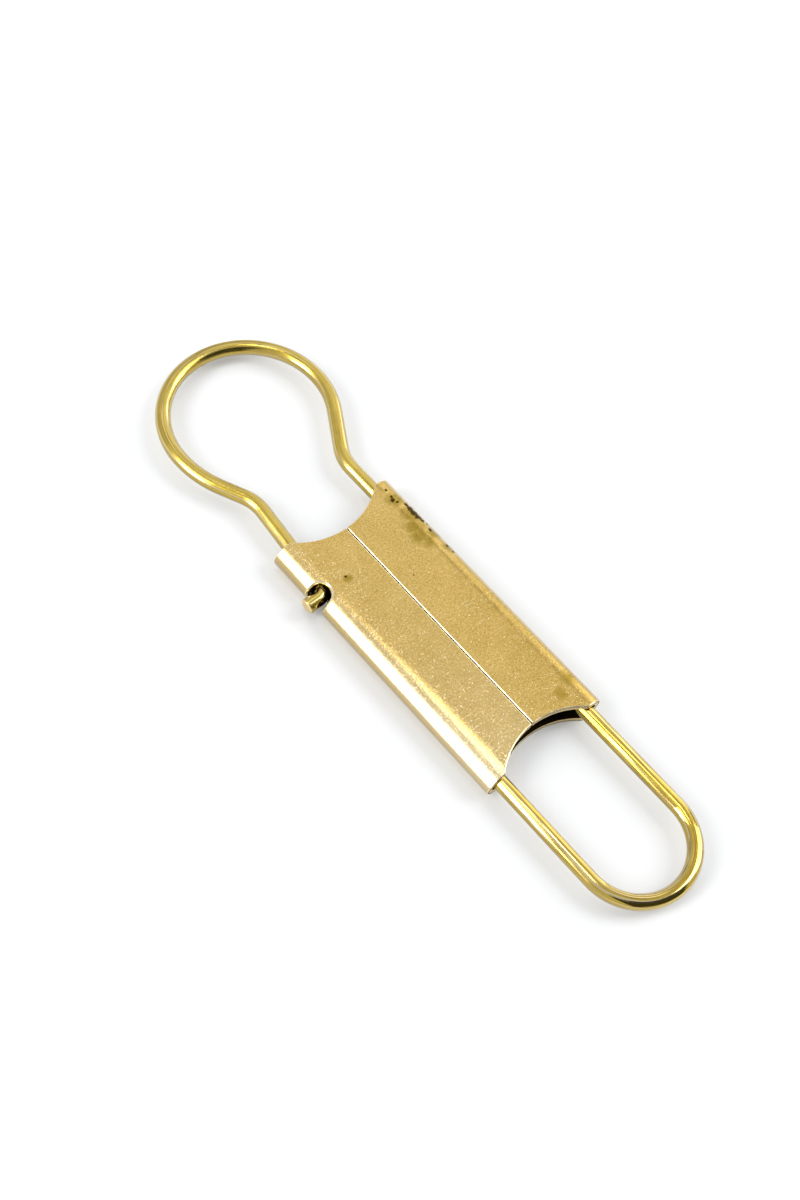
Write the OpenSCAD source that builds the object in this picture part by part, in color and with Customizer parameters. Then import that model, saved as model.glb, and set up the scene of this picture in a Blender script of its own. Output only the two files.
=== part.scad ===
// Belt key clip: one bent round wire, closed by a folded sheet sleeve that slides along its two legs.
// The clip lies flat: X across it, Y from the key bow to the belt loop, Z up out of its face.
// The origin is under the middle of the clip, on the surface that it lies on.

/* [Wire] */
// Diameter of the round wire
wire_diameter = 2.3; // [1.8:0.1:3]
// Distance between the two straight legs, centre to centre
leg_spacing = 16.5; // [14:0.5:22]

/* [Key bow] */
// Straight length of the legs between the sleeve and the round key bow
bow_straight = 17.4; // [12:0.2:24]
// Height of the cut end of the short leg above the key bow's centre, hidden in the sleeve
short_leg_length = 41; // [28:0.5:43]

/* [Belt loop] */
// Radius of the round loop, to the middle of the wire
loop_radius = 12.7; // [11:0.1:18]
// Height of the loop's centre above the sleeve
loop_rise = 21.3; // [19:0.1:30]
// How far the loop's centre lies to the right of the sleeve's centre line
loop_offset = 2.1; // [0:0.1:3]
// Lean of the straight stretch between the right leg and the loop
right_neck_angle = 32; // [24:1:40]
// Bend radius where the right leg leans out, to the middle of the wire
right_neck_radius = 6.6; // [3:0.2:9]

/* [Latch] */
// Bend radius of the loop's flatter left flank, to the middle of the wire
flank_radius = 16.4; // [15:0.2:22]
// Lean of the straight stretch between the left flank and the latch leg
flank_angle = 26; // [20:1:32]
// Bend radius between that stretch and the latch leg, to the middle of the wire
left_neck_radius = 7; // [3:0.2:9]
// Lean of the latch leg, which springs out against the window
latch_lean = 5.6; // [3:0.2:8]
// Inside radius of the hook's bend
hook_inner_radius = 0.55; // [0.4:0.05:0.9]
// How far the hook stands out of the sleeve
hook_projection = 1.1; // [0.6:0.1:2]
// Height of the hook over the middle of the window
hook_rise = 0.2; // [0:0.05:0.25]
// Bevel round the hook's cut end
hook_bevel = 0.3; // [0.1:0.05:0.5]

/* [Sleeve] */
// Length of the sleeve
sleeve_length = 44.8; // [42:0.2:60]
// Thickness of the sheet
sheet_thickness = 0.9; // [0.6:0.05:1.2]
// Play between the wire and the sheet folded round it
wire_clearance = 0.35; // [0.2:0.05:0.6]
// Radius of the hollow curve in each end of the sleeve
end_curve_radius = 12; // [10:0.5:20]
// Depth of the hollow curve in each end of the sleeve
end_curve_depth = 3; // [1.5:0.1:3.5]
// Gap between the sheet's two long edges, which meet on the front
seam_gap = 0.16; // [0.05:0.01:0.4]

/* [Window] */
// Play on each side of the hook in the window
window_play = 0.52; // [0.4:0.02:0.8]
// Distance from the sleeve's top end to the middle of the window
window_setback = 8.7; // [7:0.1:12]
// How far the window reaches in from the sleeve's left edge
window_depth = 2.55; // [2.2:0.05:3.2]
// Bevel of the window's rim on the front and the back
window_bevel = 0.3; // [0.1:0.05:0.4]

/* [Hidden] */
$fn = 48;

wire_colour = "#B9A24C";
sleeve_colour = "#C8A358";

// How far a cutting shape runs past the face that it cuts
overrun = 1;

// How far a straight stretch of wire runs into a bend, and how much thinner it is
seat = 0.02;
hair = 0.001;

wire_r = wire_diameter / 2;
leg_x = leg_spacing / 2;

// Each long edge of the sleeve is a half tube folded round one leg
channel_r = wire_r + wire_clearance;
edge_r = channel_r + sheet_thickness;
half_width = leg_x + edge_r;
sleeve_bottom = bow_straight;
sleeve_top = sleeve_bottom + sleeve_length;

// The belt loop: its crown, where the wire is split, and the point where the right side leaves it
loop_centre = [loop_offset, sleeve_top + loop_rise];
crown = loop_centre + [0, loop_radius];
right_join = loop_centre + loop_radius * toward(-right_neck_angle);

// The corner of the right neck, before it is rounded, lies on the line of the right leg
right_corner = [leg_x, right_join[1] - (right_join[0] - leg_x) / tan(right_neck_angle)];
right_trim = right_neck_radius * tan(right_neck_angle / 2);

// The window in the left edge, and the round end that faces the middle of the sleeve
window_width = wire_diameter + 2 * window_play;
window_y = sleeve_top - window_setback;
window_end_x = window_depth - half_width;

// The hook's corner, before it is rounded, lies on the line of the left leg
hook_radius = hook_inner_radius + wire_r;
hook_corner = [-leg_x, window_y + hook_rise];
hook_trim = hook_radius * tan((90 - latch_lean) / 2);
hook_tip_x = -half_width - hook_projection;

// The left flank leaves the loop at its widest point, and its straight end leads to the left neck
flank_centre = loop_centre + [flank_radius - loop_radius, 0];
flank_end = flank_centre + flank_radius * toward(180 + flank_angle);
latch_direction = toward(90 - latch_lean);
left_corner = crossing(flank_end, toward(flank_angle - 90), hook_corner, latch_direction);
left_trim = left_neck_radius * tan((flank_angle + latch_lean) / 2);
hook_start = hook_corner + hook_trim * latch_direction;

// The whole clip, to centre it over the origin
left_reach = max(loop_radius + wire_r - loop_offset, -hook_tip_x);
right_reach = loop_offset + loop_radius + wire_r;
top_reach = loop_centre[1] + loop_radius + wire_r;
bottom_reach = leg_x + wire_r;
to_origin = [(left_reach - right_reach) / 2, (bottom_reach - top_reach) / 2, edge_r];

// Unit vector at an angle in the plane of the clip
function toward(angle) = [cos(angle), sin(angle)];

// Point where the line from p along u meets the line from q along v
function crossing(p, u, q, v) = p + u * cross(q - p, v) / cross(u, v);

// Starts a wire at a point of the clip's plane, running at a heading, with local Z along the wire
module wire_from(point, heading) {
    translate([point[0], point[1], 0])
        rotate([-90, 0, heading - 90])
            children();
}

// A straight stretch of wire, with what follows it at its end. It is a hair thinner than the bends
// and runs a little way into them, so that the pieces of one wire overlap.
module straight(length) {
    reach = $children > 0 ? seat : 0;
    translate([0, 0, -seat])
        cylinder(r = wire_r - hair, h = seat + length + reach);
    translate([0, 0, length])
        children();
}

// A straight stretch that ends in a bevelled cut
module cut_end(length, bevel) {
    r = wire_r - hair;
    rotate_extrude()
        polygon([[0, -seat], [r, -seat], [r, length - bevel], [r - bevel, length], [0, length]]);
}

// A bend of wire to the right, with what follows it at its end
module bend_right(radius, angle) {
    translate([radius, 0, 0]) {
        rotate([90, 0, 180])
            rotate_extrude(angle = angle)
                translate([radius, 0])
                    circle(d = wire_diameter);
        rotate([0, angle, 0])
            translate([-radius, 0, 0])
                children();
    }
}

// The same bend to the left
module bend_left(radius, angle) {
    rotate([0, 0, 180])
        bend_right(radius, angle)
            rotate([0, 0, 180])
                children();
}

// From the crown of the loop down the long right leg, round the key bow and up the short left leg
module wire_frame() {
    color(wire_colour)
        translate(to_origin)
            wire_from(crown, 0)
                bend_right(loop_radius, 90 + right_neck_angle)
                    straight(norm(right_join - right_corner) - right_trim)
                        bend_left(right_neck_radius, right_neck_angle)
                            straight(right_corner[1] - right_trim)
                                bend_right(leg_x, 180)
                                    straight(short_leg_length);
}

// From the crown of the loop down its left flank to the leg that carries the hook
module latch_arm() {
    color(wire_colour)
        translate(to_origin)
            wire_from(crown, 180)
                bend_left(loop_radius, 90)
                    bend_left(flank_radius, flank_angle)
                        straight(norm(left_corner - flank_end) - left_trim)
                            bend_right(left_neck_radius, flank_angle + latch_lean)
                                straight(norm(hook_corner - left_corner) - left_trim - hook_trim);
}

// The bent end of the wire, which stands out through the window
module latch_hook() {
    hook_end_x = hook_corner[0] - hook_trim;
    color(wire_colour)
        translate(to_origin)
            wire_from(hook_start, -90 - latch_lean)
                bend_right(hook_radius, 90 - latch_lean)
                    cut_end(hook_end_x - hook_tip_x, hook_bevel);
}

// One long edge of the sleeve, folded round the leg at side +1 or -1
module folded_edge(side) {
    translate([side * leg_x, sleeve_top, 0])
        rotate([90, 0, 0])
            rotate([0, 0, -side * 90])
                rotate_extrude(angle = 180)
                    translate([channel_r, 0])
                        square([sheet_thickness, sleeve_length]);
}

// One flat panel of the sleeve, with its lower face at a height
module panel(height) {
    translate([-leg_x, sleeve_bottom, height])
        cube([leg_spacing, sleeve_length, sheet_thickness]);
}

// The cylinder that hollows out the sleeve's end at side +1, the top, or -1, the bottom
module end_curve(side) {
    end_y = side > 0 ? sleeve_top : sleeve_bottom;
    translate([0, end_y + side * (end_curve_radius - end_curve_depth), 0])
        cylinder(r = end_curve_radius, h = 2 * (edge_r + overrun), center = true);
}

// The rounded slot across the left edge that the hook stands out through
module window() {
    height = 2 * (edge_r + overrun);
    translate([window_end_x - window_width / 2, window_y, 0]) {
        cylinder(d = window_width, h = height, center = true);
        translate([-half_width, -window_width / 2, -height / 2])
            cube([half_width, window_width, height]);
        for (face = [0, 180])
            rotate([face, 0, 0])
                translate([0, 0, edge_r - window_bevel])
                    cylinder(d1 = window_width, d2 = window_width + 4 * window_bevel,
                        h = 2 * window_bevel);
    }
}

module sleeve() {
    color(sleeve_colour)
        translate(to_origin)
            difference() {
                union() {
                    folded_edge(1);
                    folded_edge(-1);
                    panel(channel_r);
                    panel(-edge_r);
                }
                end_curve(1);
                end_curve(-1);
                window();
                translate([-seam_gap / 2, sleeve_bottom - overrun, 0])
                    cube([seam_gap, sleeve_length + 2 * overrun, edge_r + overrun]);
            }
}

wire_frame();
latch_arm();
latch_hook();
sleeve();
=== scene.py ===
"""Belt key clip: the look of its bent brass wire and folded brass sleeve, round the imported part.

Sizes are in millimetres in the clip's own directions: x across it from the sleeve's middle, y from
the key bow's centre to the belt loop, z up out of its face. put_down() takes a finished mesh from
there to metres in the part's frame.
"""

import math

import bmesh
import bpy
from mathutils import Matrix, Quaternion, Vector


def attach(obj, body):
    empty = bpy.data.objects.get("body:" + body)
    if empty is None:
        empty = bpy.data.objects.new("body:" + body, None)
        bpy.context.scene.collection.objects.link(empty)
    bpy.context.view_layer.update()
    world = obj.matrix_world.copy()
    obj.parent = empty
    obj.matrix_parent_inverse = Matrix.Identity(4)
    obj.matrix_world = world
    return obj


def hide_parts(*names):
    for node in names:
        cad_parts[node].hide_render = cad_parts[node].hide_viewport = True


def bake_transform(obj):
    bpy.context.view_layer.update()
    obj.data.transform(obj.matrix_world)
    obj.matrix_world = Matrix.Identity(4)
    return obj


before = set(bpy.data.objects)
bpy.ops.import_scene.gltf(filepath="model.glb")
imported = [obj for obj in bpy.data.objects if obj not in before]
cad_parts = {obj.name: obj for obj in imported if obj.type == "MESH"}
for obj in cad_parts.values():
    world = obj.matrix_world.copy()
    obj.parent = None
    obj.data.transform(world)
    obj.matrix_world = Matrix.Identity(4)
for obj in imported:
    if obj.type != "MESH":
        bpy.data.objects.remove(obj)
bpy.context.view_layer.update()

MM = 0.001

# The wire's route, as in the part's source
WIRE_RADIUS = 1.15
LEG_X = 8.25
SHORT_LEG = 41.0
LOOP_CENTRE = Vector((2.1, 83.5))
LOOP_RADIUS = 12.7
RIGHT_NECK_ANGLE = 32.0
RIGHT_NECK_RADIUS = 6.6
FLANK_RADIUS = 16.4
FLANK_ANGLE = 26.0
LEFT_NECK_RADIUS = 7.0
LATCH_LEAN = 5.6
HOOK_RADIUS = 1.7
HOOK_TIP_X = -11.75
HOOK_Y = 53.7

# The sleeve, as in the part's source
SHEET = 0.9
CHANNEL_RADIUS = 1.5
EDGE_RADIUS = CHANNEL_RADIUS + SHEET
SLEEVE_BOTTOM = 17.4
SLEEVE_TOP = 62.2
END_CURVE_RADIUS = 12.0
END_CURVE_DEPTH = 3.0
SEAM_GAP = 0.16
WINDOW_Y = 53.5
WINDOW_RADIUS = 1.67
WINDOW_END_X = 8.1

# From the clip's own directions to the part's frame, whose origin is under the middle of the clip
MIDDLE = Vector((2.1, 43.975, -EDGE_RADIUS))
TO_FRAME = Matrix.Scale(MM, 4) @ Matrix.Translation(-MIDDLE)


def toward(angle):
    """Unit vector at an angle in degrees in the plane of the clip."""
    return Vector((math.cos(math.radians(angle)), math.sin(math.radians(angle))))


def crossing(p, u, q, v):
    """Point where the line from p along u meets the line from q along v."""
    return p + u * ((q - p).cross(v) / u.cross(v))


# The wire

WIRE_SIDES = 40
# Longest step of a straight stretch, in millimetres, and of a bend, in degrees
STRAIGHT_STEP = 1.6
BEND_STEP = 2.0
# Rounding of the hook's cut end
TIP_BEVEL = 0.26
BEVEL_SEGMENTS = 4


class Wire:
    """A wire that is drawn out and bent. Its vertices also hold their place on the straightened wire."""

    def __init__(self, point, heading, along=0.0):
        self.bm = bmesh.new()
        self.point = point.to_3d()
        self.heading = heading
        self.along = along
        self.unbent = self.bm.verts.layers.float_vector.new("unbent")
        ring = bmesh.ops.create_circle(
            self.bm, cap_ends=False, segments=WIRE_SIDES, radius=WIRE_RADIUS
        )["verts"]
        for vert in ring:
            vert[self.unbent] = (vert.co.x, vert.co.y, along)
        turn = Matrix.Rotation(math.radians(heading), 4, "Z") @ Matrix.Rotation(math.radians(90), 4, "Y")
        bmesh.ops.transform(self.bm, matrix=Matrix.Translation(self.point) @ turn, verts=ring)
        self.ring = self.bm.edges[:]

    def pull(self, move, length):
        """Draws the wire's end out by one step."""
        made = bmesh.ops.extrude_edge_only(self.bm, edges=self.ring)["geom"]
        verts = {item for item in made if isinstance(item, bmesh.types.BMVert)}
        self.ring = [
            item for item in made
            if isinstance(item, bmesh.types.BMEdge) and verts.issuperset(item.verts)
        ]
        bmesh.ops.transform(self.bm, matrix=move, verts=list(verts))
        self.along += length
        for vert in verts:
            vert[self.unbent].z = self.along

    def straight(self, length):
        """Draws the wire out straight."""
        steps = math.ceil(length / STRAIGHT_STEP)
        stride = toward(self.heading).to_3d() * length / steps
        for _ in range(steps):
            self.pull(Matrix.Translation(stride), length / steps)
        self.point += stride * steps

    def bend(self, radius, angle):
        """Bends the wire by an angle in degrees, to the left if it is positive."""
        side = math.copysign(1, angle)
        centre = self.point + side * radius * toward(self.heading + 90).to_3d()
        steps = math.ceil(abs(angle) / BEND_STEP)
        to_centre = Matrix.Translation(centre)
        turn = Matrix.Rotation(math.radians(angle / steps), 4, "Z")
        move = to_centre @ turn @ to_centre.inverted()
        for _ in range(steps):
            self.pull(move, radius * math.radians(abs(angle) / steps))
            self.point = move @ self.point
        self.heading += angle

    def cap(self, ring):
        """Closes an end of the wire with a flat face whose rim stays sharp."""
        face = bmesh.ops.edgeloop_fill(self.bm, edges=ring)["faces"][0]
        for edge in face.edges:
            edge.smooth = False
        return face


def put_down(bm, name):
    """Makes an object of a finished mesh, in metres in the part's frame."""
    bmesh.ops.transform(bm, matrix=TO_FRAME, verts=bm.verts)
    bmesh.ops.recalc_face_normals(bm, faces=bm.faces)
    for face in bm.faces:
        face.smooth = True
    mesh = bpy.data.meshes.new(name)
    bm.to_mesh(mesh)
    bm.free()
    for layer in ("unbent", "blank"):
        if layer in mesh.attributes:
            for item in mesh.attributes[layer].data:
                item.vector = item.vector * MM
    thing = bpy.data.objects.new(name, mesh)
    bpy.context.scene.collection.objects.link(thing)
    return thing


CROWN = LOOP_CENTRE + Vector((0, LOOP_RADIUS))


def frame_wire():
    """From the loop's crown down the right leg, round the key bow and up the short leg."""
    right_join = LOOP_CENTRE + LOOP_RADIUS * toward(-RIGHT_NECK_ANGLE)
    drop = (right_join.x - LEG_X) / math.tan(math.radians(RIGHT_NECK_ANGLE))
    corner = Vector((LEG_X, right_join.y - drop))
    trim = RIGHT_NECK_RADIUS * math.tan(math.radians(RIGHT_NECK_ANGLE / 2))
    wire = Wire(CROWN, 0)
    wire.bend(LOOP_RADIUS, -90 - RIGHT_NECK_ANGLE)
    wire.straight((right_join - corner).length - trim)
    wire.bend(RIGHT_NECK_RADIUS, RIGHT_NECK_ANGLE)
    wire.straight(corner.y - trim)
    wire.bend(LEG_X, -180)
    wire.straight(SHORT_LEG)
    for ring in separate_rims(wire.bm):
        wire.cap(ring)
    return put_down(wire.bm, "wire_right_side")


def separate_rims(bm):
    """The open rims of a mesh, each as a list of edges."""
    left = {edge for edge in bm.edges if edge.is_boundary}
    rims = []
    while left:
        rim = [left.pop()]
        for edge in rim:
            for vert in edge.verts:
                for other in vert.link_edges:
                    if other in left:
                        left.remove(other)
                        rim.append(other)
        rims.append(rim)
    return rims


def latch_wire():
    """From the loop's crown down its left flank to the hook."""
    flank_centre = LOOP_CENTRE + Vector((FLANK_RADIUS - LOOP_RADIUS, 0))
    flank_end = flank_centre + FLANK_RADIUS * toward(180 + FLANK_ANGLE)
    hook_corner = Vector((-LEG_X, HOOK_Y))
    leg = toward(90 - LATCH_LEAN)
    corner = crossing(flank_end, toward(FLANK_ANGLE - 90), hook_corner, leg)
    neck_trim = LEFT_NECK_RADIUS * math.tan(math.radians((FLANK_ANGLE + LATCH_LEAN) / 2))
    hook_trim = HOOK_RADIUS * math.tan(math.radians((90 - LATCH_LEAN) / 2))
    wire = Wire(CROWN, 180)
    wire.bend(LOOP_RADIUS, 90)
    wire.bend(FLANK_RADIUS, FLANK_ANGLE)
    wire.straight((corner - flank_end).length - neck_trim)
    wire.bend(LEFT_NECK_RADIUS, -FLANK_ANGLE - LATCH_LEAN)
    wire.straight((hook_corner - corner).length - neck_trim - hook_trim)
    wire.bend(HOOK_RADIUS, -90 + LATCH_LEAN)
    wire.straight(hook_corner.x - hook_trim - HOOK_TIP_X)
    tip_ring = set(wire.ring)
    for ring in separate_rims(wire.bm):
        face = wire.cap(ring)
        face.material_index = 1
        if tip_ring.issuperset(ring):
            bmesh.ops.bevel(
                wire.bm, geom=list(face.edges), offset=TIP_BEVEL, segments=BEVEL_SEGMENTS,
                profile=0.5, affect="EDGES", material=-1,
            )
    return put_down(wire.bm, "wire_latch_side")


# The sleeve

# The blank is the flat sheet before it is folded: the back panel in the middle, then an edge and
# half of the front on each side. Across it, u is measured along the sheet's outer face.
FOLD = math.pi * EDGE_RADIUS
FRONT_U = LEG_X + FOLD
SEAM_U = FRONT_U + LEG_X
FOLD_MIDDLE = LEG_X + FOLD / 2
FOLD_STEPS = 44
# How much further than its fold the front's left edge rolls over, at the sleeve's top and bottom
ROLL_TOP = 0.9
ROLL_BOTTOM = 2.3
ROLL_STEPS = 14
LENGTH_STEPS = 12
WINDOW_STEPS = 12
END_STEPS = 16
# Rounding of the sheet's rims outside, at the window and inside, and of its corners
RIM_BEVEL = 0.14
WINDOW_BEVEL = 0.3
BACK_BEVEL = 0.06
CORNER_ROUND = 0.22
# An edge of the blank counts as a corner if it turns by more than this many degrees
CORNER_ANGLE = 20
# Half the field round the window, along u and v
WINDOW_FIELD = (4.4, 2.2)
# How near to the seam a cut face belongs to it
SEAM_FIELD = 1.0
# A face of the blank lower than this is on its inner side
INNER_SIDE = 0.01
# A face looks along an axis if that part of its normal is more than FACING, and not at all along it
# if the part is less than EDGE_ON
FACING = 0.9
EDGE_ON = 0.1
# Points closer than MERGE are one, and a score closer than SNAP to a point goes through it
MERGE = 0.001
SNAP = 0.0001


def draw_line(bm, vert, u, v):
    """Draws a line of the blank's outline and returns its end."""
    made = bmesh.ops.extrude_vert_indiv(bm, verts=[vert])["verts"][0]
    made.co = (u, v, 0)
    return made


def draw_arc(bm, vert, centre, angle, steps):
    """Draws an arc of the blank's outline and returns its end."""
    made = bmesh.ops.spin(
        bm, geom=[vert], cent=centre.to_3d(), axis=(0, 0, 1), angle=math.radians(angle),
        steps=steps, use_duplicate=False,
    )["geom_last"]
    return next(item for item in made if isinstance(item, bmesh.types.BMVert))


def draw_end(bm, vert, side):
    """Draws one end of the blank, from a point on its left seam edge round to the right seam edge."""
    end_y = SLEEVE_TOP if side > 0 else SLEEVE_BOTTOM
    centre_y = end_y + side * (END_CURVE_RADIUS - END_CURVE_DEPTH)
    reach = math.sqrt(END_CURVE_RADIUS ** 2 - (END_CURVE_RADIUS - END_CURVE_DEPTH) ** 2)
    half = math.degrees(math.asin(reach / END_CURVE_RADIUS))
    start = SEAM_GAP / 2
    gap = math.degrees(math.asin(start / END_CURVE_RADIUS))
    vert = draw_line(
        bm, vert, start - SEAM_U, centre_y - side * math.sqrt(END_CURVE_RADIUS ** 2 - start ** 2)
    )
    vert = draw_arc(bm, vert, Vector((-SEAM_U, centre_y)), side * (half - gap), END_STEPS)
    vert = draw_line(bm, vert, -reach, end_y)
    vert = draw_arc(bm, vert, Vector((0, centre_y)), side * 2 * half, 2 * END_STEPS)
    vert = draw_line(bm, vert, SEAM_U - reach, end_y)
    return draw_arc(bm, vert, Vector((SEAM_U, centre_y)), side * (half - gap), END_STEPS)


def unroll(x):
    """How far past the start of the fold, along the outer face, a distance from the middle lies."""
    if x <= LEG_X:
        return x - LEG_X
    return EDGE_RADIUS * math.asin((x - LEG_X) / EDGE_RADIUS)


def draw_window_half(bm, vert, side):
    """Draws half of the window round the left edge, from its end in the back to its end in the front."""
    outline = []
    for step in range(WINDOW_STEPS + 1):
        angle = math.radians(90 * step / WINDOW_STEPS)
        x = WINDOW_END_X + WINDOW_RADIUS * (1 - math.cos(angle))
        outline.append((unroll(x), WINDOW_Y + side * WINDOW_RADIUS * math.sin(angle)))
    for past, v in outline:
        vert = draw_line(bm, vert, -LEG_X - past, v)
    for past, v in reversed(outline):
        vert = draw_line(bm, vert, past - FRONT_U, v)
    return vert


def half_blank(side):
    """The part of the blank above or below the line across the window's middle, as one flat face."""
    bm = bmesh.new()
    first = bm.verts.new((SEAM_GAP / 2 - SEAM_U, WINDOW_Y, 0))
    last = draw_end(bm, first, side)
    last = draw_line(bm, last, SEAM_U - SEAM_GAP / 2, WINDOW_Y)
    last = draw_window_half(bm, last, side)
    bm.edges.new((last, first))
    bmesh.ops.contextual_create(bm, geom=bm.edges[:])
    return bm


def level(face):
    return abs(face.normal.z) > FACING


def round_off(bm, edges, offset):
    """Rounds edges off and returns the new faces."""
    made = bmesh.ops.bevel(
        bm, geom=edges, offset=offset, segments=BEVEL_SEGMENTS, profile=0.5, affect="EDGES",
        material=-1,
    )
    bm.normal_update()
    return made["faces"]


def near_window(point):
    return abs(point.x + FOLD_MIDDLE) < WINDOW_FIELD[0] and abs(point.y - WINDOW_Y) < WINDOW_FIELD[1]


def rim_edges(bm, at_window, outer):
    """The edges between a panel face and the sheet's cut edge."""
    found = []
    for edge in bm.edges:
        if len(edge.link_faces) != 2 or sum(map(level, edge.link_faces)) != 1:
            continue
        if any(EDGE_ON < abs(face.normal.z) < FACING for face in edge.link_faces):
            continue
        middle = (edge.verts[0].co + edge.verts[1].co) / 2
        if near_window(middle) == at_window and (middle.z > SHEET / 2) == outer:
            found.append(edge)
    return found


def front_sag(side, x, y):
    """How far the front has sunk where it rolls over into its left edge, most at the lower end."""
    if side > 0:
        return 0.0
    low = 1 - (y - SLEEVE_BOTTOM) / (SLEEVE_TOP - SLEEVE_BOTTOM)
    reach = EDGE_RADIUS + ROLL_TOP + (ROLL_BOTTOM - ROLL_TOP) * low
    into = x - (LEG_X + EDGE_RADIUS - reach)
    if into <= 0:
        return 0.0
    round_edge = math.sqrt(max(0.0, EDGE_RADIUS ** 2 - max(0.0, x - LEG_X) ** 2))
    rolled = EDGE_RADIUS * math.sqrt(max(0.0, 1 - (into / reach) ** 2))
    return round_edge - rolled


def fold(point):
    """Where a point of the blank goes when its two sides are folded over."""
    side = math.copysign(1, point.x)
    across = abs(point.x)
    reach = CHANNEL_RADIUS + point.z
    if across <= LEG_X:
        return Vector((point.x, point.y, -reach))
    if across >= FRONT_U:
        x = SEAM_U - across
        return Vector((side * x, point.y, reach - front_sag(side, x, point.y)))
    turn = (across - LEG_X) / EDGE_RADIUS
    x = LEG_X + reach * math.sin(turn)
    z = -reach * math.cos(turn)
    if z > 0:
        share = 1 - (1 - reach / EDGE_RADIUS) * math.sin(turn)
        z -= front_sag(side, LEG_X + EDGE_RADIUS * math.sin(turn), point.y) * share
    return Vector((side * x, point.y, z))


# The sheet's finishes, in the order of the sleeve's materials
OUTSIDE, WORN_AND_PAINTED_HIGHLIGHT, CUT, INSIDE_AND_PAINTED_SHADE = range(4)


def finish_of(face, rounded):
    """Which finish a face of the blank has."""
    middle = face.calc_center_median()
    if middle.z < INNER_SIDE:
        return INSIDE_AND_PAINTED_SHADE
    if face in rounded:
        return WORN_AND_PAINTED_HIGHLIGHT
    if level(face):
        return OUTSIDE
    at_seam = abs(middle.x) > SEAM_U - SEAM_FIELD and abs(face.normal.x) > FACING
    # The window's and the seam's walls are painted near black as shade
    return INSIDE_AND_PAINTED_SHADE if near_window(middle) or at_seam else CUT


def score(bm, place, direction):
    """Splits the blank's faces along a line, so that they can bend there."""
    bmesh.ops.bisect_plane(
        bm, geom=bm.verts[:] + bm.edges[:] + bm.faces[:], dist=SNAP, plane_co=place, plane_no=direction
    )


def folded_sleeve():
    """The sleeve, made as the real one is: cut flat, its edges broken, then folded round the legs."""
    bm = bmesh.new()
    for side in (1, -1):
        half = half_blank(side)
        mesh = bpy.data.meshes.new("half_blank")
        half.to_mesh(mesh)
        half.free()
        bm.from_mesh(mesh)
        bpy.data.meshes.remove(mesh)
    bmesh.ops.remove_doubles(bm, verts=bm.verts, dist=MERGE)
    made = bmesh.ops.extrude_face_region(bm, geom=bm.faces[:])["geom"]
    lifted = [item for item in made if isinstance(item, bmesh.types.BMVert)]
    bmesh.ops.translate(bm, verts=lifted, vec=(0, 0, SHEET))
    bmesh.ops.recalc_face_normals(bm, faces=bm.faces)
    bm.normal_update()
    corners = [
        edge for edge in bm.edges
        if not any(map(level, edge.link_faces)) and edge.calc_face_angle(0) > math.radians(CORNER_ANGLE)
    ]
    round_off(bm, corners, CORNER_ROUND)
    rounded = set()
    for at_window, outer, offset in (
        (True, True, WINDOW_BEVEL), (True, False, BACK_BEVEL),
        (False, True, RIM_BEVEL), (False, False, BACK_BEVEL),
    ):
        rounded.update(round_off(bm, rim_edges(bm, at_window, outer), offset))
    for face in bm.faces:
        face.material_index = finish_of(face, rounded)
    creases = [LEG_X + FOLD * step / FOLD_STEPS for step in range(FOLD_STEPS + 1)]
    creases += [FRONT_U + ROLL_BOTTOM * (step + 1) / ROLL_STEPS for step in range(ROLL_STEPS)]
    for crease in creases:
        for side in (-1, 1):
            score(bm, (side * crease, 0, 0), (1, 0, 0))
    for step in range(1, LENGTH_STEPS):
        y = SLEEVE_BOTTOM + (SLEEVE_TOP - SLEEVE_BOTTOM) * step / LENGTH_STEPS
        score(bm, (0, y, 0), (0, 1, 0))
    blank = bm.verts.layers.float_vector.new("blank")
    for vert in bm.verts:
        vert[blank] = vert.co
        vert.co = fold(vert.co)
    thing = put_down(bm, "sleeve_shell")
    evened = thing.modifiers.new("evened_normals", "WEIGHTED_NORMAL")
    evened.keep_sharp = True
    return thing


# Finishes

# Pattern sizes in millimetres, on the flat blank or the straightened wire. The real grit marks, draw
# lines and tears are a few hundredths of a millimetre wide, too fine to show at arm's length, so
# they are drawn several times coarser than they are.
WIRE_TONE = 2.4
FLECK = 0.4
DRAW_LINE = 0.22
BURNISHED_LINE = 0.34
GROOVE = 0.16
MOTTLE = 3.2
GRAIN = 0.3
FINE_GRAIN = 0.17
DENT = 0.24
SPECK = 0.2
DARK_LINE_BREAK = 1.4
BLOT_CLOUD = 0.9
BLOT_SPECKLE = 0.3
SPOT_CLOUD = 0.35
EDGE_TONE = 0.6
NICK = 0.35
CUT_TONE = 1.1
TEAR = 0.18
CRUST = 0.8

# How much slower the lines along the wire and the tears across a cut change in their own direction
DRAWN_OUT = 0.01
RUBBED_OUT = 0.016
TORN_OUT = 0.15
RUBBED_SHIFT = (7.0, 3.0, 5.0)

# Scratches: the width of all, then length, share of the cells and angles of the short ones, and
# angle, length and share of each kind of long one
SCRATCH_WIDTH = 0.04
HAIRLINE_LENGTH = 0.6
HAIRLINE_SHARE = 0.35
HAIRLINE_ANGLES = (12.0, 47.0, 84.0, 121.0, 155.0)
LONG_SCRATCHES = ((24.0, 2.2, 0.012), (-41.0, 1.4, 0.015), (78.0, 2.6, 0.01))
# How much of its cell a scratch spans, and where in the cell its rim starts and ends
SCRATCH_IN_CELL = 0.3
SCRATCH_RIM = (0.16, 0.08)

# Bands along the folded edges, by distance from the edge's outermost line: where the flat face
# starts, where the edge turns under and is greyed as a painted reflection of the shaded paper, and
# the painted dark line beside the right edge, a painted dark reflection at the start of its fold
FLAT_BAND = (2.2, 3.7)
UNDER_BAND = (2.0, 1.0)
DARK_LINE_PLACE = 3.85
DARK_LINE_BAND = (0.45, 0.05)
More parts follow.
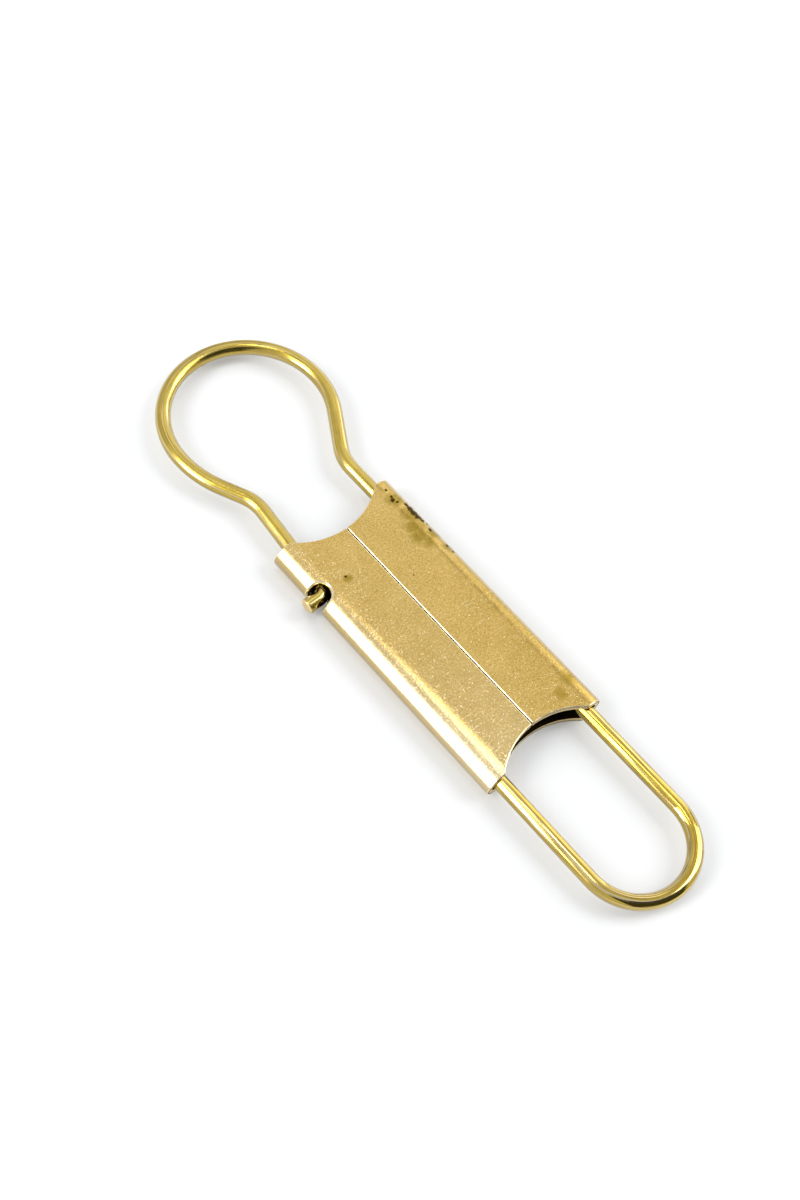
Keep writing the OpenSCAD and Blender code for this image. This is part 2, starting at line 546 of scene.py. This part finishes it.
# How far above and below the sleeve's lower end the wire turns from satin to burnished
RUBBED_ABOVE = 4.0
RUBBED_BELOW = 2.0
# The side of the wire that faces down, by height over its middle, which is painted darker as shade
UNDERSIDE_SHADE_BAND = (-0.7, 0.1)
# The brink of a cut, painted dark as shade, by height in the sheet
BRINK_SHADE_BAND = (SHEET - 0.38, SHEET - 0.32)
WAX_ROUGHNESS = 0.12

# Wear on the front: x, y and reach of soft blots of tarnish, of scuffs and of dark spots
BLOTS = (
    (8.6, 58.5, 1.9), (9.0, 55.4, 2.2), (7.8, 53.6, 2.1), (7.4, 51.8, 2.1), (7.8, 50.4, 1.6),
    (9.6, 51.0, 1.7), (9.7, 48.0, 1.4), (-5.2, 52.8, 1.0), (6.2, 21.2, 1.4), (8.6, 22.5, 1.6),
)
SCUFFS = (
    (-8.0, 60.0, 2.4), (-7.3, 56.8, 2.2), (-6.2, 55.2, 1.8), (-5.6, 50.4, 2.2), (7.0, 38.0, 2.5),
)
SPOTS = (
    (8.6, 60.5, 0.35), (8.5, 59.2, 0.4), (8.3, 58.6, 0.55), (8.6, 58.0, 0.4), (9.5, 57.0, 0.6),
    (9.5, 56.2, 0.9), (9.5, 55.3, 1.0), (9.5, 54.4, 0.9), (9.6, 53.6, 0.6), (9.9, 52.9, 0.4),
    (9.4, 51.7, 0.6), (9.7, 48.4, 0.4), (9.7, 47.1, 0.4), (2.45, 47.5, 0.22), (-5.3, 53.2, 0.3),
)


def colour(code):
    """Linear colour of an sRGB hex code."""
    parts = [int(code[i:i + 2], 16) / 255 for i in (1, 3, 5)]
    return tuple(p / 12.92 if p <= 0.04045 else ((p + 0.055) / 1.055) ** 2.4 for p in parts) + (1.0,)


def add_node(tree, kind, inputs=(), **settings):
    """Adds a node, with values or other nodes' outputs on its inputs."""
    made = tree.nodes.new(kind)
    for name, value in settings.items():
        setattr(made, name, value)
    for key, value in dict(inputs).items():
        if isinstance(value, bpy.types.NodeSocket):
            tree.links.new(value, made.inputs[key])
        else:
            made.inputs[key].default_value = value
    return made


def new_material(name):
    material = bpy.data.materials.new(name)
    material.use_nodes = True
    material.node_tree.nodes.clear()
    return material, material.node_tree


def own_shape(tree, name):
    """Place on the flat blank or the straightened wire, in millimetres."""
    shape = add_node(tree, "ShaderNodeAttribute", attribute_name=name)
    scaled = add_node(
        tree, "ShaderNodeVectorMath", {0: shape.outputs["Vector"], "Scale": 1 / MM}, operation="SCALE"
    )
    return scaled.outputs["Vector"]


def measure(tree, place, axis):
    """A place's measure along one axis."""
    return add_node(tree, "ShaderNodeSeparateXYZ", {0: place}).outputs[axis]


def worked_out(tree, operation, *values):
    """Result of one step of arithmetic."""
    return add_node(tree, "ShaderNodeMath", dict(enumerate(values)), operation=operation).outputs[0]


def times(tree, first, second):
    """Product of two values, which for two masks is where both are 1."""
    return worked_out(tree, "MULTIPLY", first, second)


def weighed(tree, parts):
    """Sum of values, each with its weight."""
    total = 0.0
    for value, weight in parts:
        total = worked_out(tree, "MULTIPLY_ADD", value, weight, total)
    return total


def opposite(tree, mask):
    """Mask that is 1 where another is 0."""
    return weighed(tree, [(mask, -1.0), (1.0, 1.0)])


def strongest(tree, masks):
    """The greatest of several masks."""
    top = masks[0]
    for mask in masks[1:]:
        top = worked_out(tree, "MAXIMUM", top, mask)
    return top


def ramp(tree, value, start, end):
    """Mask that goes from 0 where a value is at the start to 1 where it is at the end."""
    return add_node(tree, "ShaderNodeMapRange", {
        "Value": value, "From Min": start, "From Max": end,
    }).outputs["Result"]


def patches(tree, place, size, low, high, detail=2.0):
    """Irregular patches of a size, from 0 under low to 1 over high."""
    cloud = add_node(tree, "ShaderNodeTexNoise", {
        "Vector": place, "Scale": 1 / size, "Detail": detail, "Roughness": 0.6,
    })
    return ramp(tree, cloud.outputs["Fac"], low, high)


def drawn_out(tree, place, share, shift=(0.0, 0.0, 0.0)):
    """Place that changes by a share of itself in its third direction, so that patches become lines."""
    return add_node(tree, "ShaderNodeMapping", {
        "Vector": place, "Scale": (1.0, 1.0, share), "Location": shift,
    }).outputs["Vector"]


def scratches(tree, place, angle, length, share):
    """Short straight scratches at an angle, in a share of the cells that could hold one."""
    turned = add_node(tree, "ShaderNodeMapping", {
        "Vector": place, "Rotation": (0.0, 0.0, math.radians(angle)),
        "Scale": (SCRATCH_IN_CELL / length, SCRATCH_IN_CELL / SCRATCH_WIDTH, 0.0),
        "Location": (angle, 0.0, 0.0),
    })
    cells = add_node(tree, "ShaderNodeTexVoronoi", {
        "Vector": turned.outputs["Vector"], "Scale": 1.0,
    }, voronoi_dimensions="2D")
    line = ramp(tree, cells.outputs["Distance"], *SCRATCH_RIM)
    chance = add_node(tree, "ShaderNodeSeparateColor", {"Color": cells.outputs["Color"]}).outputs[0]
    return times(tree, line, worked_out(tree, "LESS_THAN", chance, share))


def laid_over(tree, under, over, mask):
    """One colour over another where a mask is 1."""
    return add_node(tree, "ShaderNodeMix", {
        0: mask, 6: under, 7: over,
    }, data_type="RGBA").outputs[2]


def on_blank(x):
    """Distance from the blank's middle, to the side that x is on, of a place on the front."""
    across = FRONT_U - unroll(abs(x)) if abs(x) > LEG_X else SEAM_U - abs(x)
    return math.copysign(across, x)


def near_places(tree, place, places):
    """How near the closest of several places on the front is: 1 in it, 0 out of its reach."""
    near = []
    for x, y, reach in places:
        away = add_node(tree, "ShaderNodeVectorMath", {
            0: place, 1: (on_blank(x), y, SHEET),
        }, operation="DISTANCE").outputs["Value"]
        near.append(ramp(tree, away, reach, 0.3 * reach))
    return strongest(tree, near)


def ragged(tree, near, cloud, blur):
    """Mask of places whose outlines a cloud of patches breaks up, crisp at a small blur."""
    return ramp(tree, weighed(tree, [(near, 1.0), (cloud, 0.8)]), 1.0 - blur, 1.0 + blur)


def surface(tree, base, rough, height, relief, wax=0.0):
    """Metal of a colour and a roughness, waxed or not. Its height is in parts of relief, a length."""
    raised = add_node(tree, "ShaderNodeBump", {
        "Height": height, "Strength": 1.0, "Distance": relief * MM,
    }).outputs["Normal"]
    shader = add_node(tree, "ShaderNodeBsdfPrincipled", {
        "Base Color": base, "Metallic": 1.0, "Roughness": rough, "Normal": raised,
        "Coat Weight": wax, "Coat Roughness": WAX_ROUGHNESS, "Coat Normal": raised,
    })
    add_node(tree, "ShaderNodeOutputMaterial", {"Surface": shader.outputs["BSDF"]})


def brass_wire():
    """Brass wire, pulled through a die and left waxed: a satin skin with fine lines along the wire. The
    sleeve has burnished the legs that it slides on, so they mirror the lamps between a few grooves.
    """
    material, tree = new_material("drawn_brass_wire")
    place = own_shape(tree, "unbent")
    on_clip = add_node(tree, "ShaderNodeTexCoord").outputs["Object"]
    satin_end = TO_FRAME @ Vector((0, SLEEVE_BOTTOM + RUBBED_ABOVE, 0))
    burnished_end = TO_FRAME @ Vector((0, SLEEVE_BOTTOM - RUBBED_BELOW, 0))
    slid_on = ramp(tree, measure(tree, on_clip, "Y"), satin_end.y, burnished_end.y)
    satin = opposite(tree, slid_on)
    # Painted shade: the side of the wire that faces down
    flank = ramp(tree, measure(tree, place, "X"), *UNDERSIDE_SHADE_BAND)

    beside = drawn_out(tree, place, RUBBED_OUT, RUBBED_SHIFT)
    lines = patches(tree, drawn_out(tree, place, DRAWN_OUT), DRAW_LINE, 0.38, 0.62)
    burnished = patches(tree, beside, BURNISHED_LINE, 0.5, 0.6)
    grooves = patches(tree, beside, GROOVE, 0.57, 0.64)
    tone = patches(tree, place, WIRE_TONE, 0.35, 0.65)
    flecks = patches(tree, place, FLECK, 0.66, 0.74)

    lined = weighed(tree, [(lines, 0.7), (tone, 0.3)])
    base = laid_over(tree, colour("#AA8C18"), colour("#DEBE42"), lined)
    for over, mask, share in (
        ("#FFF2CC", burnished, 0.5), ("#D6C05A", satin, 0.25), ("#7C6410", grooves, 0.6),
        # 967A1C darkens the downward side as painted shade
        ("#967A1C", flank, 0.5), ("#9A7D2A", flecks, 0.7),
    ):
        base = laid_over(tree, base, colour(over), weighed(tree, [(mask, share)]))
    rough = weighed(tree, [(lines, 0.03), (tone, 0.03), (flecks, 0.1), (slid_on, -0.14), (1.0, 0.2)])
    cut_in = weighed(tree, [(lines, 1.0), (grooves, -0.4)])
    depth = times(tree, cut_in, weighed(tree, [(slid_on, 0.5), (1.0, 0.5)]))
    surface(tree, base, rough, depth, relief=0.005, wax=1.0)
    return material


def brass_sheet():
    """Rolled brass sheet, folded, tumbled with grit and waxed: satin with a fine grain, bright specks,
    dents and short scratches, and tarnish settled at the right. Painted light as well: the left edge is
    made paler where the lamps' highlights fall (painted highlight), the undersides of the edges are
    greyed as a painted reflection of the shaded paper, a dark line runs along the start of the right
    fold as a painted dark reflection, and the right half is darker towards its outer edge and lower end
    as painted shade.
    """
    material, tree = new_material("tumbled_brass_sheet")
    place = own_shape(tree, "blank")
    from_middle = measure(tree, place, "X")
    left = ramp(tree, from_middle, 0.1, -0.1)
    right = opposite(tree, left)
    down = ramp(tree, measure(tree, place, "Y"), SLEEVE_TOP, SLEEVE_BOTTOM)
    up = opposite(tree, down)
    past_fold = worked_out(tree, "SUBTRACT", worked_out(tree, "ABSOLUTE", from_middle), FOLD_MIDDLE)
    from_edge = worked_out(tree, "ABSOLUTE", past_fold)
    flat = ramp(tree, from_edge, *FLAT_BAND)
    under = ramp(tree, from_edge, *UNDER_BAND)
    outermost = ramp(tree, from_edge, FOLD_MIDDLE, 0.0)
    band_start = weighed(tree, [(left, 1.7), (1.0, 2.8)])
    band_end = weighed(tree, [(left, 0.8), (1.0, 2.0)])
    rubbed_and_highlight_band = ramp(tree, from_edge, band_start, band_end)
    scuffed = near_places(tree, place, SCUFFS)
    worn = weighed(tree, [(times(tree, left, outermost), 0.5), (down, 0.4), (scuffed, 0.3)])
    # Painted shade: the right half darker towards its outer edge and lower end
    painted_right_shade = times(tree, times(tree, right, outermost), down)
    # Lighter towards the top of the left half
    lighter_upper_left = times(tree, left, times(tree, up, up))
    low_left = times(tree, left, times(tree, down, down))

    mottle = patches(tree, place, MOTTLE, 0.35, 0.65, detail=3.0)
    grain = patches(tree, place, GRAIN, 0.35, 0.65)
    fine = patches(tree, place, FINE_GRAIN, 0.35, 0.65)
    dents = patches(tree, place, DENT, 0.3, 0.7)
    cloud = add_node(tree, "ShaderNodeTexNoise", {
        "Vector": place, "Scale": 1 / SPECK, "Detail": 1.0,
    }).outputs["Fac"]
    specks = ramp(tree, weighed(tree, [(cloud, 1.0), (worn, 0.15)]), 0.74, 0.82)
    specks = times(tree, specks, flat)
    hairlines = strongest(tree, [
        scratches(tree, place, angle, HAIRLINE_LENGTH, HAIRLINE_SHARE) for angle in HAIRLINE_ANGLES
    ])
    lines = strongest(tree, [scratches(tree, place, *kind) for kind in LONG_SCRATCHES])
    beyond = worked_out(tree, "ABSOLUTE", weighed(tree, [(from_edge, 1.0), (1.0, -DARK_LINE_PLACE)]))
    # Painted dark reflection: a dark line along the start of the right fold, broken into patches
    crease = times(tree, ramp(tree, beyond, *DARK_LINE_BAND), right)
    crease = times(tree, crease, patches(tree, place, DARK_LINE_BREAK, 0.3, 0.6))
    soiled = patches(tree, place, BLOT_CLOUD, 0.3, 0.7, detail=5.0)
    blots = ragged(tree, near_places(tree, place, BLOTS), soiled, 0.4)
    speckles = times(tree, blots, patches(tree, place, BLOT_SPECKLE, 0.55, 0.63, detail=3.0))
    pitted = patches(tree, place, SPOT_CLOUD, 0.3, 0.7, detail=3.0)
    spots = ragged(tree, near_places(tree, place, SPOTS), pitted, 0.1)

    tone = weighed(tree, [
        (mottle, 0.15), (grain, 0.42), (fine, 0.5), (hairlines, 0.08), (painted_right_shade, -0.35), (right, 0.16),
        (lighter_upper_left, 0.2), (1.0, -0.06),
    ])
    # Painted highlight: the left edge's base made paler where the lamps' highlights fall, most towards
    # the lower end
    pale = times(tree, times(tree, left, rubbed_and_highlight_band), weighed(tree, [(down, 0.45), (1.0, 0.1)]))
    # Painted reflection: the undersides of the edges greyed like the shaded paper they face, less towards
    # the lower end
    painted_floor_reflection = times(tree, under, weighed(tree, [(down, -0.3), (1.0, 0.9)]))
    bright = strongest(tree, [specks, lines])
    base = laid_over(tree, colour("#B7953C"), colour("#E9C97E"), tone)
    for over, mask, share in (
        # FFF0D0 is the painted highlight and #BFA56C the painted reflection of the shaded paper
        ("#F6E6BE", low_left, 0.28), ("#FFF0D0", pale, 1.0), ("#BFA56C", painted_floor_reflection, 1.0),
        # 8A6E2C is the painted dark reflection along the right fold
        ("#FFF6DC", bright, 0.8), ("#8A6E2C", crease, 0.4), ("#9C8226", blots, 0.75),
        ("#75601C", speckles, 0.6), ("#3A2A0A", spots, 0.95),
    ):
        base = laid_over(tree, base, colour(over), weighed(tree, [(mask, share)]))
    rough = weighed(tree, [
        (mottle, 0.03), (grain, 0.03), (spots, 0.2), (blots, 0.08), (rubbed_and_highlight_band, 0.02), (1.0, 0.18),
    ])
    sandy = times(tree, weighed(tree, [(worn, 0.5), (1.0, 0.34)]), flat)
    sand = weighed(tree, [(dents, 0.35), (grain, 0.35), (fine, 0.4)])
    height = weighed(tree, [
        (times(tree, sand, sandy), 1.0), (hairlines, 0.03), (lines, -0.12), (specks, 0.5),
    ])
    waxed = times(tree, rubbed_and_highlight_band, opposite(tree, spots))
    surface(tree, base, rough, height, relief=0.016, wax=waxed)
    return material


def brass_edge():
    """The sheet's broken edges: worn bright by the tumbling grit and by the hand, and given a paler
    colour still as a painted highlight along the rims, with small nicks.
    """
    material, tree = new_material("worn_brass_edge_and_painted_highlight")
    place = own_shape(tree, "blank")
    tone = patches(tree, place, EDGE_TONE, 0.35, 0.65, detail=3.0)
    nicks = patches(tree, place, NICK, 0.68, 0.76)
    # The pale rims are partly wear and partly a painted highlight
    base = laid_over(tree, colour("#F0DCA6"), colour("#FFF3D2"), tone)
    base = laid_over(tree, base, colour("#C29F55"), nicks)
    rough = weighed(tree, [(tone, 0.06), (nicks, 0.1), (1.0, 0.13)])
    height = weighed(tree, [(nicks, -0.3), (tone, 0.05)])
    surface(tree, base, rough, height, relief=0.012)
    return material


def brass_cut(name, shape, painted_shade_weight):
    """Sheared brass: matt and paler than the polished faces, with tear lines and a painted shade along
    its brink.
    """
    material, tree = new_material(name)
    place = own_shape(tree, shape)
    tears = patches(tree, drawn_out(tree, place, TORN_OUT), TEAR, 0.35, 0.65)
    tone = patches(tree, place, CUT_TONE, 0.35, 0.65)
    torn = weighed(tree, [(tears, 0.5), (tone, 0.5)])
    base = laid_over(tree, colour("#E6CA8C"), colour("#FBE6B8"), torn)
    brink = ramp(tree, measure(tree, place, "Z"), *BRINK_SHADE_BAND)
    # Painted shade: a dark band along the cut face's brink
    base = laid_over(tree, base, colour("#5A4620"), weighed(tree, [(brink, painted_shade_weight)]))
    rough = weighed(tree, [(tears, 0.12), (1.0, 0.4)])
    surface(tree, base, rough, tears, relief=0.008)
    return material


def brass_inside():
    """The same sheet inside the sleeve, never polished: dull with oxide, and painted near black as the
    shade inside the sleeve. The walls of the window and of the seam take it too, as painted shade.
    """
    material, tree = new_material("oxidised_brass_inside_and_painted_shade")
    place = own_shape(tree, "blank")
    crust = patches(tree, place, CRUST, 0.3, 0.7, detail=4.0)
    # Near black: oxide and painted shade
    base = laid_over(tree, colour("#1E180C"), colour("#382B14"), crust)
    rough = weighed(tree, [(crust, 0.15), (1.0, 0.6)])
    surface(tree, base, rough, crust, relief=0.02)
    return material


def studio_paper():
    """Matt pale grey paper. The lift brings it to white for the camera, and keeps the shadow."""
    material, tree = new_material("pale_paper")
    path = add_node(tree, "ShaderNodeLightPath")
    lift = weighed(tree, [(path.outputs["Is Camera Ray"], PAPER_LIFT)])
    paper = add_node(tree, "ShaderNodeBsdfDiffuse", {"Color": colour("#E0E2E4")})
    glow = add_node(tree, "ShaderNodeEmission", {"Strength": lift})
    both = add_node(tree, "ShaderNodeAddShader", {0: paper.outputs[0], 1: glow.outputs[0]})
    add_node(tree, "ShaderNodeOutputMaterial", {"Surface": both.outputs[0]})
    return material


def card_board():
    """Matt dark grey card, which gives the brass its dark reflections."""
    material, tree = new_material("black_card")
    board = add_node(tree, "ShaderNodeBsdfDiffuse", {"Color": colour("#42423E")})
    add_node(tree, "ShaderNodeOutputMaterial", {"Surface": board.outputs[0]})
    return material


# The room, in metres and degrees round the middle of the clip

PAPER_SIZE = 6.0
PAPER_LIFT = 0.11
# How far under the clip the paper lies, in millimetres
PAPER_GAP = 0.02
# Light of the plain white room, where 1 looks white
ROOM_LEVEL = 0.7

LAMP_DISTANCE = 0.7
CARD_DISTANCE = 0.55
CARD_AZIMUTH = 264
CARD_ELEVATION = 36
CARD_ANGLE = 64

# Each soft lamp: azimuth, elevation, the angles that it fills across and up, level and turn
LAMPS = {
    "left_softbox": (162, 33, 20, 46, 7.0, 14),
    "right_softbox": (332, 38, 26, 48, 4.8, 0),
    "ceiling_softbox": (105, 84, 11, 11, 6.0, 0),
    "back_softbox": (60, 60, 50, 30, 0.2, 0),
    "side_softbox": (20, 30, 40, 44, 0.42, 0),
    "sill_softbox": (3, 22, 13, 36, 1.0, 0),
}


def from_centre(azimuth, elevation, distance):
    """Point at a distance from the clip, in a direction in degrees, and the turn that faces back."""
    flat = toward(azimuth) * math.cos(math.radians(elevation))
    away = Vector((flat.x, flat.y, math.sin(math.radians(elevation))))
    return away * distance, away.to_track_quat("Z", "Y")


def face_clip(thing, azimuth, elevation, distance, turned=0):
    thing.location, turn = from_centre(azimuth, elevation, distance)
    thing.rotation_mode = "QUATERNION"
    thing.rotation_quaternion = turn @ Quaternion((0, 0, 1), math.radians(turned))


def span(angle, distance):
    """Width that fills an angle in degrees at a distance."""
    return 2 * distance * math.tan(math.radians(angle / 2))


def softbox(name, azimuth, elevation, wide, high, level, turned):
    """Soft lamp that fills an angle each way, seen from the clip. At level 1 it looks white."""
    lamp = bpy.data.lights.new(name, "AREA")
    lamp.shape = "RECTANGLE"
    lamp.size = span(wide, LAMP_DISTANCE)
    lamp.size_y = span(high, LAMP_DISTANCE)
    lamp.energy = level * math.pi * lamp.size * lamp.size_y
    thing = bpy.data.objects.new(name, lamp)
    bpy.context.scene.collection.objects.link(thing)
    face_clip(thing, azimuth, elevation, LAMP_DISTANCE, turned)


def flat_board(name, size, material):
    """A square board of the studio."""
    bm = bmesh.new()
    bmesh.ops.create_grid(bm, x_segments=1, y_segments=1, size=0.5)
    bmesh.ops.scale(bm, vec=(size, size, 1), verts=bm.verts)
    mesh = bpy.data.meshes.new(name)
    bm.to_mesh(mesh)
    bm.free()
    mesh.materials.append(material)
    thing = bpy.data.objects.new(name, mesh)
    bpy.context.scene.collection.objects.link(thing)
    return thing


def room():
    """A plain white room with paper under the clip, soft lamps and a card out of the camera's sight."""
    world = bpy.data.worlds.new("room")
    bpy.context.scene.world = world
    world.use_nodes = True
    world.node_tree.nodes.clear()
    walls = add_node(world.node_tree, "ShaderNodeBackground", {
        "Color": colour("#FFFFFF"), "Strength": ROOM_LEVEL,
    })
    add_node(world.node_tree, "ShaderNodeOutputWorld", {"Surface": walls.outputs[0]})
    floor = flat_board("floor", PAPER_SIZE, studio_paper())
    floor.location.z = -PAPER_GAP * MM
    for name, measures in LAMPS.items():
        softbox(name, *measures)
    card = flat_board("dark_card", span(CARD_ANGLE, CARD_DISTANCE), card_board())
    face_clip(card, CARD_AZIMUTH, CARD_ELEVATION, CARD_DISTANCE)
    card.visible_camera = False
    bpy.context.scene.view_settings.view_transform = "Standard"


# The camera, in metres, degrees and, for the lens and its sensor, millimetres

CAMERA_PLACE = Vector((-0.092542, -0.065134, 0.201535))
CAMERA_AIM = Vector((-0.002722, 0.002544, 0.0024))
CAMERA_ROLL = 13.3757
CAMERA_LENS = 48.846
CAMERA_SENSOR = 36.0
CAMERA_NEAR = 0.01
CAMERA_FAR = 20.0


def camera():
    """The photograph's camera, fitted to the clip."""
    lens = bpy.data.cameras.new("camera")
    lens.lens = CAMERA_LENS
    lens.sensor_width = CAMERA_SENSOR
    lens.clip_start = CAMERA_NEAR
    lens.clip_end = CAMERA_FAR
    thing = bpy.data.objects.new("camera", lens)
    bpy.context.scene.collection.objects.link(thing)
    thing.location = CAMERA_PLACE
    aim = (CAMERA_AIM - CAMERA_PLACE).to_track_quat("-Z", "Y").to_matrix().to_4x4()
    turn = aim @ Matrix.Rotation(math.radians(CAMERA_ROLL), 4, "Z")
    thing.rotation_euler = turn.to_euler()
    bpy.context.scene.camera = thing


# The clip

wire = brass_wire()
wire_end = brass_cut("sheared_brass_wire", "unbent", 0.0)
sheet = [brass_sheet(), brass_edge(), brass_cut("sheared_brass_sheet", "blank", 0.85), brass_inside()]

right_side = frame_wire()
right_side.data.materials.append(wire)
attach(right_side, "wire")
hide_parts("wire_frame")

latch_side = latch_wire()
latch_side.data.materials.append(wire)
latch_side.data.materials.append(wire_end)
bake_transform(latch_side)
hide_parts("latch_arm", "latch_hook")

sleeve = folded_sleeve()
for material in sheet:
    sleeve.data.materials.append(material)
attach(sleeve, "sleeve")
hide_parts("sleeve")

room()
camera()
